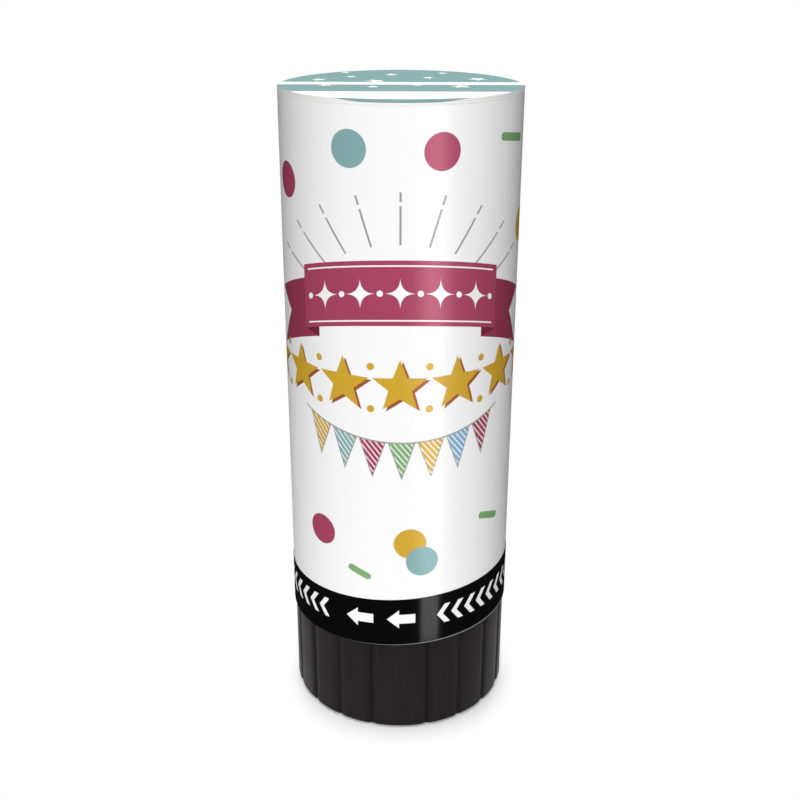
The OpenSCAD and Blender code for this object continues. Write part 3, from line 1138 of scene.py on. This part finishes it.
# %% Lugs and parting lines
LUG_R = 15.7
LUG_H = 4
LUG_TOP = GRIP_TOP - 3.6
LUG_ANGLE = 20
SINK = 0.2
RIDGE_RISE = 0.05
RIDGE_LOW = 0.55
RIDGE_TOP = GRIP_TOP - 0.35
RIDGE_ANGLE = 0.5
RIDGE_AT = 2.4


def sector(inner, outer, low, top, middle, width, steps=16):
    """A closed block between two radii, two heights and two angles."""
    corners = ((inner, low), (outer, low), (outer, top), (inner, top))
    angles = [math.radians(middle - width / 2 + width * i / steps) for i in range(steps + 1)]
    return lofted([[(r * math.sin(a), -r * math.cos(a), z) for r, z in corners] for a in angles])


def joined(meshes):
    """One mesh from several, with their attributes kept."""
    shape = bmesh.new()
    for mesh in meshes:
        shape.from_mesh(mesh)
    result = meshes[0]
    shape.to_mesh(result)
    shape.free()
    return result


parts = [grip_mesh]
for side in (0, 180):
    parts.append(sector(LUG_R, GRIP_INSIDE + SINK, LUG_TOP - LUG_H, LUG_TOP, side, LUG_ANGLE))
for side in (RIDGE_AT, 180 + RIDGE_AT):
    parts.append(sector(GRIP_R - SINK, GRIP_R + RIDGE_RISE, RIDGE_LOW, RIDGE_TOP, side, RIDGE_ANGLE, 3))
grip_mesh = joined(parts)
grip_mesh.materials.clear()
finished("fluted_grip", grip_mesh, "grip", [grip_black], ["twist_grip"], sharp=32)

# %% [markdown]
# ## The card cover
# The mouth is closed by a printed card disc. A second card, a half disc, lies on its front half and
# lifts at a fold, which shows as a raised white line. Both have small white stars on teal, and the
# tab has a white margin at its fold and a plain white strip between a straight edge and a curved
# one. The disc's print reads the place in space. The tab bends, so its print reads a flat map of
# the sheet instead.

# %% Cover finishes
STAR_PLACES = (
    (-13.6, 6.2, 1.5, 0.2), (-8.4, 10.2, 1.1, 0.7), (-4.2, 4.6, 1.9, 0.4), (-1.6, 13.2, 1.4, 0.1),
    (4.6, 9.0, 1.2, 0.9), (7.2, 15.2, 1.1, 0.5), (12.8, 7.4, 1.8, 0.6), (-9.6, 16.0, 1.0, 1.0),
)
TAB_STARS = (
    (-12.0, -3.2, 1.3, 0.4), (-4.4, -5.0, 1.2, 0.1), (2.6, -3.0, 1.0, 0.8), (9.4, -4.4, 1.9, 0.2),
)
STRIP_FROM = -10.4
STRIP_END = -18.6
STRIP_BOW = 0.0149
FOLD_MARGIN = -2.6
CHART_SIZE = 40
CARD_SHADE = 0.975


def cover_print(name, stars, chart=None, strip=False):
    """Teal card with white stars, each given as (x, y, tip, turn)."""
    look = Print(name, TEAL, Roughness=0.6, Specular_IOR_Level=0.0)
    if chart is None:
        look.place(look.x, look.y)
    else:
        place = look.split(look.add("ShaderNodeUVMap", {"uv_map": chart}).outputs[0])
        look.place(*[share * CHART_SIZE - CHART_SIZE / 2 for share in place[:2]])
    gap = None
    for u, v, tip, turn in stars:
        far = look.star(look.u - u, look.v - v, tip, turn)
        gap = far if gap is None else gap & far
    white = look.inside(gap)
    if strip:
        curved = look.u * look.u * STRIP_BOW + STRIP_END - look.v
        white = white | look.inside((look.v - STRIP_FROM) | curved)
        white = white | look.inside((look.v - FOLD_MARGIN) * -1)
    teal = look.paint(look.noise(5), tone(129, 163, 163), tone(136, 170, 169))
    look.set(Base_Color=look.paint(white, teal, PAPER), Coat_Weight=0.03, Coat_Roughness=0.3)
    look.set(Normal=look.bump(look.noise(0.3, detail=3), 0.002))
    return look


def plain_card(name, colour):
    """Unprinted card with a faint fibre."""
    look = Look(name, colour, Roughness=0.7, Specular_IOR_Level=0.25)
    fibre = look.noise(0.4, detail=4)
    low = tuple(c * CARD_SHADE for c in colour[:3]) + (1.0,)
    look.set(Base_Color=look.paint(fibre, low, colour), Normal=look.bump(fibre, 0.006))
    return look


seal_print = cover_print("seal_print", STAR_PLACES)
tab_print = cover_print("tab_print", TAB_STARS, "flat", strip=True)
white_card = plain_card("white_card", tone(250, 250, 249))
bare_card = plain_card("bare_card", tone(216, 212, 202))
print("stars:", len(STAR_PLACES) + len(TAB_STARS))

# %% [markdown]
# ## The disc and the fold
# The disc's back half is printed, its rim shows the white cut edge, and its underside and what the
# tab covers are bare card. The fold is a thin bar across it with rounded upper edges.

# %% Seal disc
COVER_LOW = TUBE_TOP + 0.005
INNER_RING = 12
seal_mesh = turned([
    (0, COVER_LOW),
    (LABEL_R, COVER_LOW, 0.03),
    (LABEL_R, SEAL_TOP, 0.06),
    (INNER_RING, SEAL_TOP),
    (0, SEAL_TOP),
])
cover_looks = [white_card, seal_print, bare_card]
finished("cover_disc", seal_mesh, "lid", cover_looks, ["seal_disc"])
for face in seal_mesh.polygons:
    printed = face.normal.z > 0.5 and face.center.y > 0
    flat = abs(face.normal.z) > 0.5
    face.material_index = 1 if printed else 2 if flat else 0

# %% Fold
FOLD_RISE = -0.1
FOLD_ROUND = 0.22
FOLD_STEPS = 40
fold_half = span("tab_fold", X)[1]
fold_side = span("tab_fold", Y)[1]
fold_top = span("tab_fold", Z)[1] + FOLD_RISE
fold_outline = rounded([
    (-fold_side, SEAL_TOP),
    (fold_side, SEAL_TOP),
    (fold_side, fold_top, FOLD_ROUND),
    (-fold_side, fold_top, FOLD_ROUND),
])
places = [fold_half * (2 * i / FOLD_STEPS - 1) for i in range(FOLD_STEPS + 1)]
fold_mesh = lofted([[(x, y, z) for y, z in fold_outline] for x in places])
finished("fold_ridge", fold_mesh, "lid", [white_card], ["tab_fold"])

# %% [markdown]
# ## The lifting tab
# The tab is a half disc in rows from the fold to the rim, so that it can bend where it meets the
# fold. It gets a flat map before it bends: the place on the sheet, as a share of a square.
# On that map its underside is moved back a little, so the teal that runs down the front edge tapers
# off to both sides.

# %% Lifting tab
TAB_LOW, TAB_TOP = SEAL_TOP + 0.01, span("lift_tab", Z)[1]
TAB_ROWS = 48
TAB_COLUMNS = 64
ROW_EASE = 0.35
EDGE_INK = 12.5
EDGE_TAPER = 0.9


def tab_mesh():
    """A half disc in rows from the fold to the rim."""
    first = math.asin(fold_side / LABEL_R)
    rows = []
    for j in range(TAB_ROWS):
        share = j / TAB_ROWS
        bend = first + (math.pi / 2 - first) * (ROW_EASE * share * share + (1 - ROW_EASE) * share)
        rows.append((-LABEL_R * math.sin(bend), LABEL_R * math.cos(bend)))
    points = []
    for height in (TAB_TOP, TAB_LOW):
        for y, half in rows:
            points += [(half * (2 * i / TAB_COLUMNS - 1), y, height) for i in range(TAB_COLUMNS + 1)]
        points.append((0, -LABEL_R, height))
    wide = TAB_COLUMNS + 1
    sheet = wide * TAB_ROWS + 1
    faces = []
    for side in (0, 1):
        base = side * sheet
        for j in range(TAB_ROWS - 1):
            for i in range(TAB_COLUMNS):
                a = base + j * wide + i
                faces.append((a, a + wide, a + wide + 1, a + 1))
        tip = base + sheet - 1
        for i in range(TAB_COLUMNS):
            faces.append((tip - wide + i, tip, tip - wide + i + 1))
    rim = [j * wide for j in range(TAB_ROWS)] + [sheet - 1]
    rim += [j * wide + TAB_COLUMNS for j in reversed(range(TAB_ROWS))]
    rim += list(range(TAB_COLUMNS - 1, 0, -1))
    for a, b in zip(rim, rim[1:] + rim[:1]):
        faces.append((a, b, sheet + b, sheet + a))
    return mesh_of(points, faces)


flat_tab = tab_mesh()
chart = flat_tab.uv_layers.new(name="flat")
for loop in flat_tab.loops:
    at = flat_tab.vertices[loop.vertex_index].co / MM
    below = EDGE_TAPER if at.z < (TAB_LOW + TAB_TOP) / 2 else 0
    chart.data[loop.index].uv = (at.x / CHART_SIZE + 0.5, (at.y + below) / CHART_SIZE + 0.5)
tab_looks = [white_card, tab_print, bare_card]
tab = finished("half_moon_tab", flat_tab, None, tab_looks, ["lift_tab"])
for face in flat_tab.polygons:
    front_edge = abs(face.normal.z) < 0.5 and abs(face.center.x) < EDGE_INK * MM
    under = face.normal.z < -0.5
    face.material_index = 1 if face.normal.z > 0.5 or front_edge else 2 if under else 0
tab_z = (TAB_LOW + TAB_TOP) / 2 * MM
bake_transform(tab)

# %% [markdown]
# ## The coil spring
# A Geometry Nodes tree bends a line into the coil. The end turns lie flat against the deck and the
# pusher, as on a real spring, and the turns between share what is left of the height. The spring
# stands on the plug and pushes the pusher, so it stretches between those two bodies.

# %% Spring
WIRE = 1.3
WIRE_SIDES = 12
COIL_D = 26.0
COIL_STEPS = 420
TURNS = 9.5
CLOSED_TURNS = 0.9
CLOSED_PITCH_SHARE = 1.02
SPRING_LOW, SPRING_TOP = span("main_spring", Z)

spring_steel = Look("spring_steel", tone(176, 178, 182), Metallic=1.0)
drawn = spring_steel.noise(0.5, detail=3, stretch=(1, 1, 4))
spring_steel.set(Roughness=drawn * 0.2 + 0.22, Normal=spring_steel.bump(drawn, 0.004))


def coil_tree():
    """Bends a straight line into a coil, and gives it a round section and caps."""
    shape = Shape("coil")
    wire = shape.size("Wire diameter", WIRE * MM)
    wide = shape.size("Coil diameter", COIL_D * MM)
    turns = shape.size("Turns", TURNS)
    closed = shape.size("Closed turns at each end", CLOSED_TURNS)
    low = shape.size("Low end", SPRING_LOW * MM)
    high = shape.size("High end", SPRING_TOP * MM)
    line = shape.add("GeometryNodeCurvePrimitiveLine")
    fine = shape.add("GeometryNodeResampleCurve", None, {"Curve": line.outputs[0], "Count": COIL_STEPS})
    share = Num(shape, shape.add("GeometryNodeSplineParameter").outputs["Factor"])
    turn = share * turns
    angle = turn * (2 * math.pi)
    middle = shape.maths("DIVIDE", turn - closed, turns - closed * 2, clamp=True)
    shut = (turn & closed) + closed - ((turns - turn) & closed)
    pack = wire * CLOSED_PITCH_SHARE
    span_left = high - low - wire - pack * closed * 2
    climb = pack * shut + middle * span_left
    place = shape.join(
        shape.maths("COSINE", angle) * wide / 2, shape.maths("SINE", angle) * wide / 2,
        low + wire / 2 + climb,
    )
    bent = shape.add("GeometryNodeSetPosition", None, {"Geometry": fine.outputs[0], "Position": place})
    ring_values = {"Resolution": WIRE_SIDES, "Radius": wire / 2}
    ring = shape.add("GeometryNodeCurvePrimitiveCircle", None, ring_values)
    rod = shape.add("GeometryNodeCurveToMesh", None,
        {"Curve": bent.outputs[0], "Profile Curve": ring.outputs[0], "Fill Caps": True})
    soft = shape.add("GeometryNodeSetShadeSmooth", None, {0: rod.outputs[0]})
    shape.close(soft.outputs[0], spring_steel)
    return shape


spring_mesh = coil_tree().run(bpy.data.meshes.new("empty"))
spring_mesh.materials.clear()
spring = finished("coil_spring", spring_mesh, None, [spring_steel], ["main_spring"])
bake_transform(spring)

# %% [markdown]
# ## The paper rounds
# The load is over a thousand tissue rounds in five colours, stacked in seven columns. One tree makes
# one colour: it numbers every round, works out its column and layer from that number, keeps those
# of its colour, and places a thin wavy disc there with a small random shift and turn.

# %% Tissue finish
PAPERS = {"teal": TEAL, "raspberry": RASPBERRY, "gold": GOLD, "green": GREEN, "white": tone(240, 240, 236)}
PALER = 1.12
DEEPER = 0.8


def tissue(name, colour):
    """Thin matt paper whose colour changes a little with the fibre and from layer to layer."""
    look = Look(name, colour, Roughness=0.8, Specular_IOR_Level=0.2)
    fibre = look.noise(0.5, detail=4)
    layer = look.noise(0.5, detail=1, stretch=(0.02, 0.02, 1))
    pale = tuple(min(1.0, c * PALER + 0.01) for c in colour[:3]) + (1.0,)
    deep = tuple(c * DEEPER for c in colour[:3]) + (1.0,)
    look.set(Base_Color=look.paint(fibre * 0.5 + layer * 0.5, deep, pale), Normal=look.bump(fibre, 0.01))
    return look


tissues = {name: tissue(f"{name}_tissue", colour) for name, colour in PAPERS.items()}
print("papers:", ", ".join(tissues))

# %% One paper round
ROUND_EDGES = 20
ROUND_T = 0.25
WAVE = 0.03
RIPPLE = 0.015
COLUMN_R = 5.84
ROUND_R = COLUMN_R - 0.3


def wavy_round(radius):
    """A thin disc with a slight wave in its rim, centred on the origin."""
    points = []
    for height in (ROUND_T / 2, -ROUND_T / 2):
        points.append((0, 0, height))
        for i in range(ROUND_EDGES):
            a = 2 * math.pi * i / ROUND_EDGES
            wave = WAVE * math.cos(2 * a) + RIPPLE * math.cos(3 * a + 1)
            points.append((radius * math.cos(a), radius * math.sin(a), height + wave))
    under = ROUND_EDGES + 1
    faces = []
    for i in range(ROUND_EDGES):
        a, b = 1 + i, 1 + (i + 1) % ROUND_EDGES
        faces += [(0, a, b), (under, under + b, under + a), (a, under + a, under + b, b)]
    return mesh_of(points, faces)


paper_round = wavy_round(ROUND_R)
print("a round has", len(paper_round.polygons), "faces")

# %% The stacking rule
COLUMNS = 7
COLUMN_GAP = 0.25
PACKETS = 8
ROUNDS = 20
COLOUR_STEP = 2
LARGEST_SHIFT = 0.24
FIRST_SEED = 40
LOAD_TOP = max(span(f"confetti_{name}", Z)[1] for name in PAPERS)


def stack_tree(number, look):
    """Places the rounds of one colour: the points are numbered column by column from below."""
    shape = Shape("stacks")
    apart = shape.size("Distance between columns", (COLUMN_R * 2 + COLUMN_GAP) * MM)
    low = shape.size("Bottom of the load", WAD_TOP * MM)
    high = shape.size("Top of the load", LOAD_TOP * MM)
    shift = shape.size("Largest shift", LARGEST_SHIFT * MM)
    seed = shape.size("Seed", FIRST_SEED + number)
    levels = PACKETS * ROUNDS
    cloud = shape.add("GeometryNodePoints", None, {"Count": COLUMNS * levels})
    index = Num(shape, shape.add("GeometryNodeInputIndex").outputs[0])
    column = shape.maths("FLOOR", (index + 0.5) / levels)
    level = index - column * levels
    packet = shape.maths("FLOOR", (level + 0.5) / ROUNDS)
    colour = (column * COLOUR_STEP + packet) % float(len(PAPERS))
    chosen = shape.maths("COMPARE", colour, float(number), 0.1)
    from_axis = shape.maths("GREATER_THAN", column, 0.5) * apart
    bearing = column * (2 * math.pi / (COLUMNS - 1))
    jitter = shape.add("FunctionNodeRandomValue", {"data_type": "FLOAT_VECTOR"},
        {0: (-1, -1, 0), 1: (1, 1, 0), "ID": index, "Seed": seed})
    wander = shape.scaled(jitter.outputs[0], shift)
    across = shape.maths("COSINE", bearing) * from_axis
    along = shape.maths("SINE", bearing) * from_axis
    up = low + (high - low) * (level + 0.5) / levels
    place = shape.vector("ADD", shape.join(across, along, up), wander)
    move = shape.add("GeometryNodeSetPosition", None, {0: cloud.outputs[0], "Position": place})
    turn = shape.add("FunctionNodeRandomValue", {"data_type": "FLOAT"},
        {2: 0.0, 3: 2 * math.pi, "ID": index, "Seed": seed})
    put = shape.add("GeometryNodeInstanceOnPoints", None, {
        "Points": move.outputs[0],
        "Selection": chosen,
        "Instance": shape.start.outputs[0],
        "Rotation": shape.join(0.0, 0.0, Num(shape, turn.outputs[1])),
    })
    shape.close(put.outputs[0], look)
    return shape


for number, (name, look) in enumerate(tissues.items()):
    stack = stack_tree(number, look).run(paper_round)
    stack.materials.clear()
    node = f"confetti_{name}"
    finished(f"{name}_rounds", stack, "plunger", [look], [node], sharp=50)

# %% [markdown]
# ## The moulded works
# The plug, the release cam, the catch and the pusher keep their CAD shapes, because parts made of
# cylinders and cuts are drawn well there. They get the finishes of their plastics: a satin black, a
# grey with faint flow lines, a milky natural nylon, and a natural pusher with fine scratches from
# the bore.

# %% Finishes of the works
plug_black = moulded(
    "plug_plastic", tone(66, 66, 69), tone(76, 76, 79), level=0.4, size=0.5, seed=(6, 1, 8),
)
plug_black.set(Roughness=sheen(plug_black, 0.42))
cam_grey = moulded(
    "cam_plastic", tone(176, 178, 182), tone(196, 198, 201), level=0.45, size=2.2, detail=3,
    stretch=(1, 1, 0.3), seed=(4, 4, 4),
)
cam_grey.set(Roughness=sheen(cam_grey, 0.4))
nylon = moulded(
    "catch_plastic", tone(226, 220, 203), tone(240, 237, 227), level=0.5, size=1.8, seed=(2, 7, 5),
)
nylon.set(Roughness=sheen(nylon, 0.34))
natural = moulded(
    "pusher_plastic", tone(222, 222, 218), tone(234, 234, 231), level=0.45, size=0.12,
    stretch=(1, 1, 0.02), seed=(1, 2, 3),
)
natural.set(Roughness=natural.flow * 0.25 + 0.32)
for node, look in {
    "base_plug": plug_black, "release_cam": cam_grey, "catch_clip": nylon, "pusher": natural
}.items():
    materials = frame["nodes"][node].data.materials
    materials.clear()
    materials.append(look.material)
    print(node, "is finished in", look.material.name)
